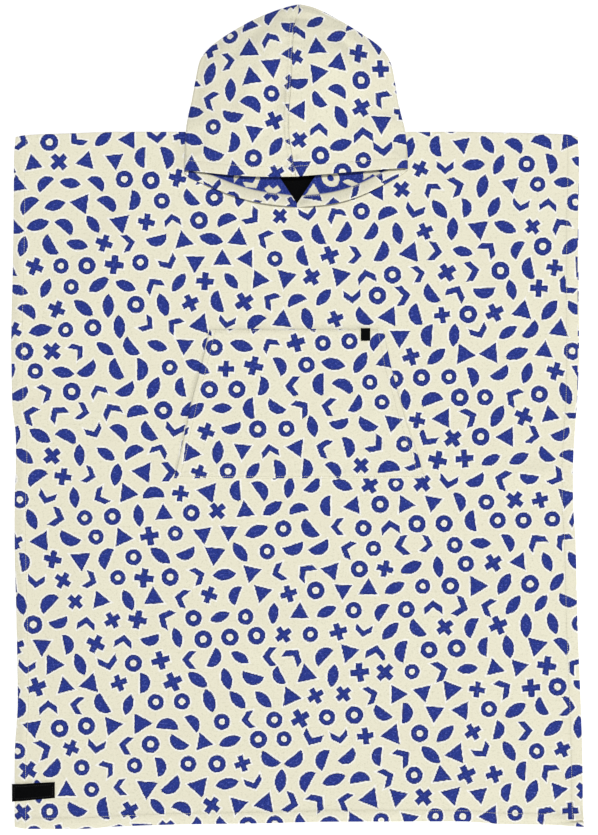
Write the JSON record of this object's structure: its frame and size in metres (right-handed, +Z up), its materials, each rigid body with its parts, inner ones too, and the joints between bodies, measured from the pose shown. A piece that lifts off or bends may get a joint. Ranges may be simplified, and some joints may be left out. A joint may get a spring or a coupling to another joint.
{
  "type": "hooded bath poncho",
  "caption": "Sleeveless hooded poncho of cotton towelling laid flat, with a kangaroo pocket and open armholes.",
  "frame": {"origin": "under the middle of the whole garment, on the surface it lies on", "axes": "+Y from the hem to the hood, +X to the right of the garment seen from above, +Z up, out of its front"},
  "size_m": [0.911, 1.314, 0.0282],
  "materials": {
    "towelling": "matte cream and blue jacquard cotton towelling",
    "label": "matte black woven ribbon"
  },
  "bodies": {
    "root": {"back": "towelling", "front": "towelling", "hood_left": "towelling", "hood_right": "towelling", "pocket": "towelling", "pocket_label": "label", "side_label": "label", "neck_patch": "label"}
  },
  "joints": []
}
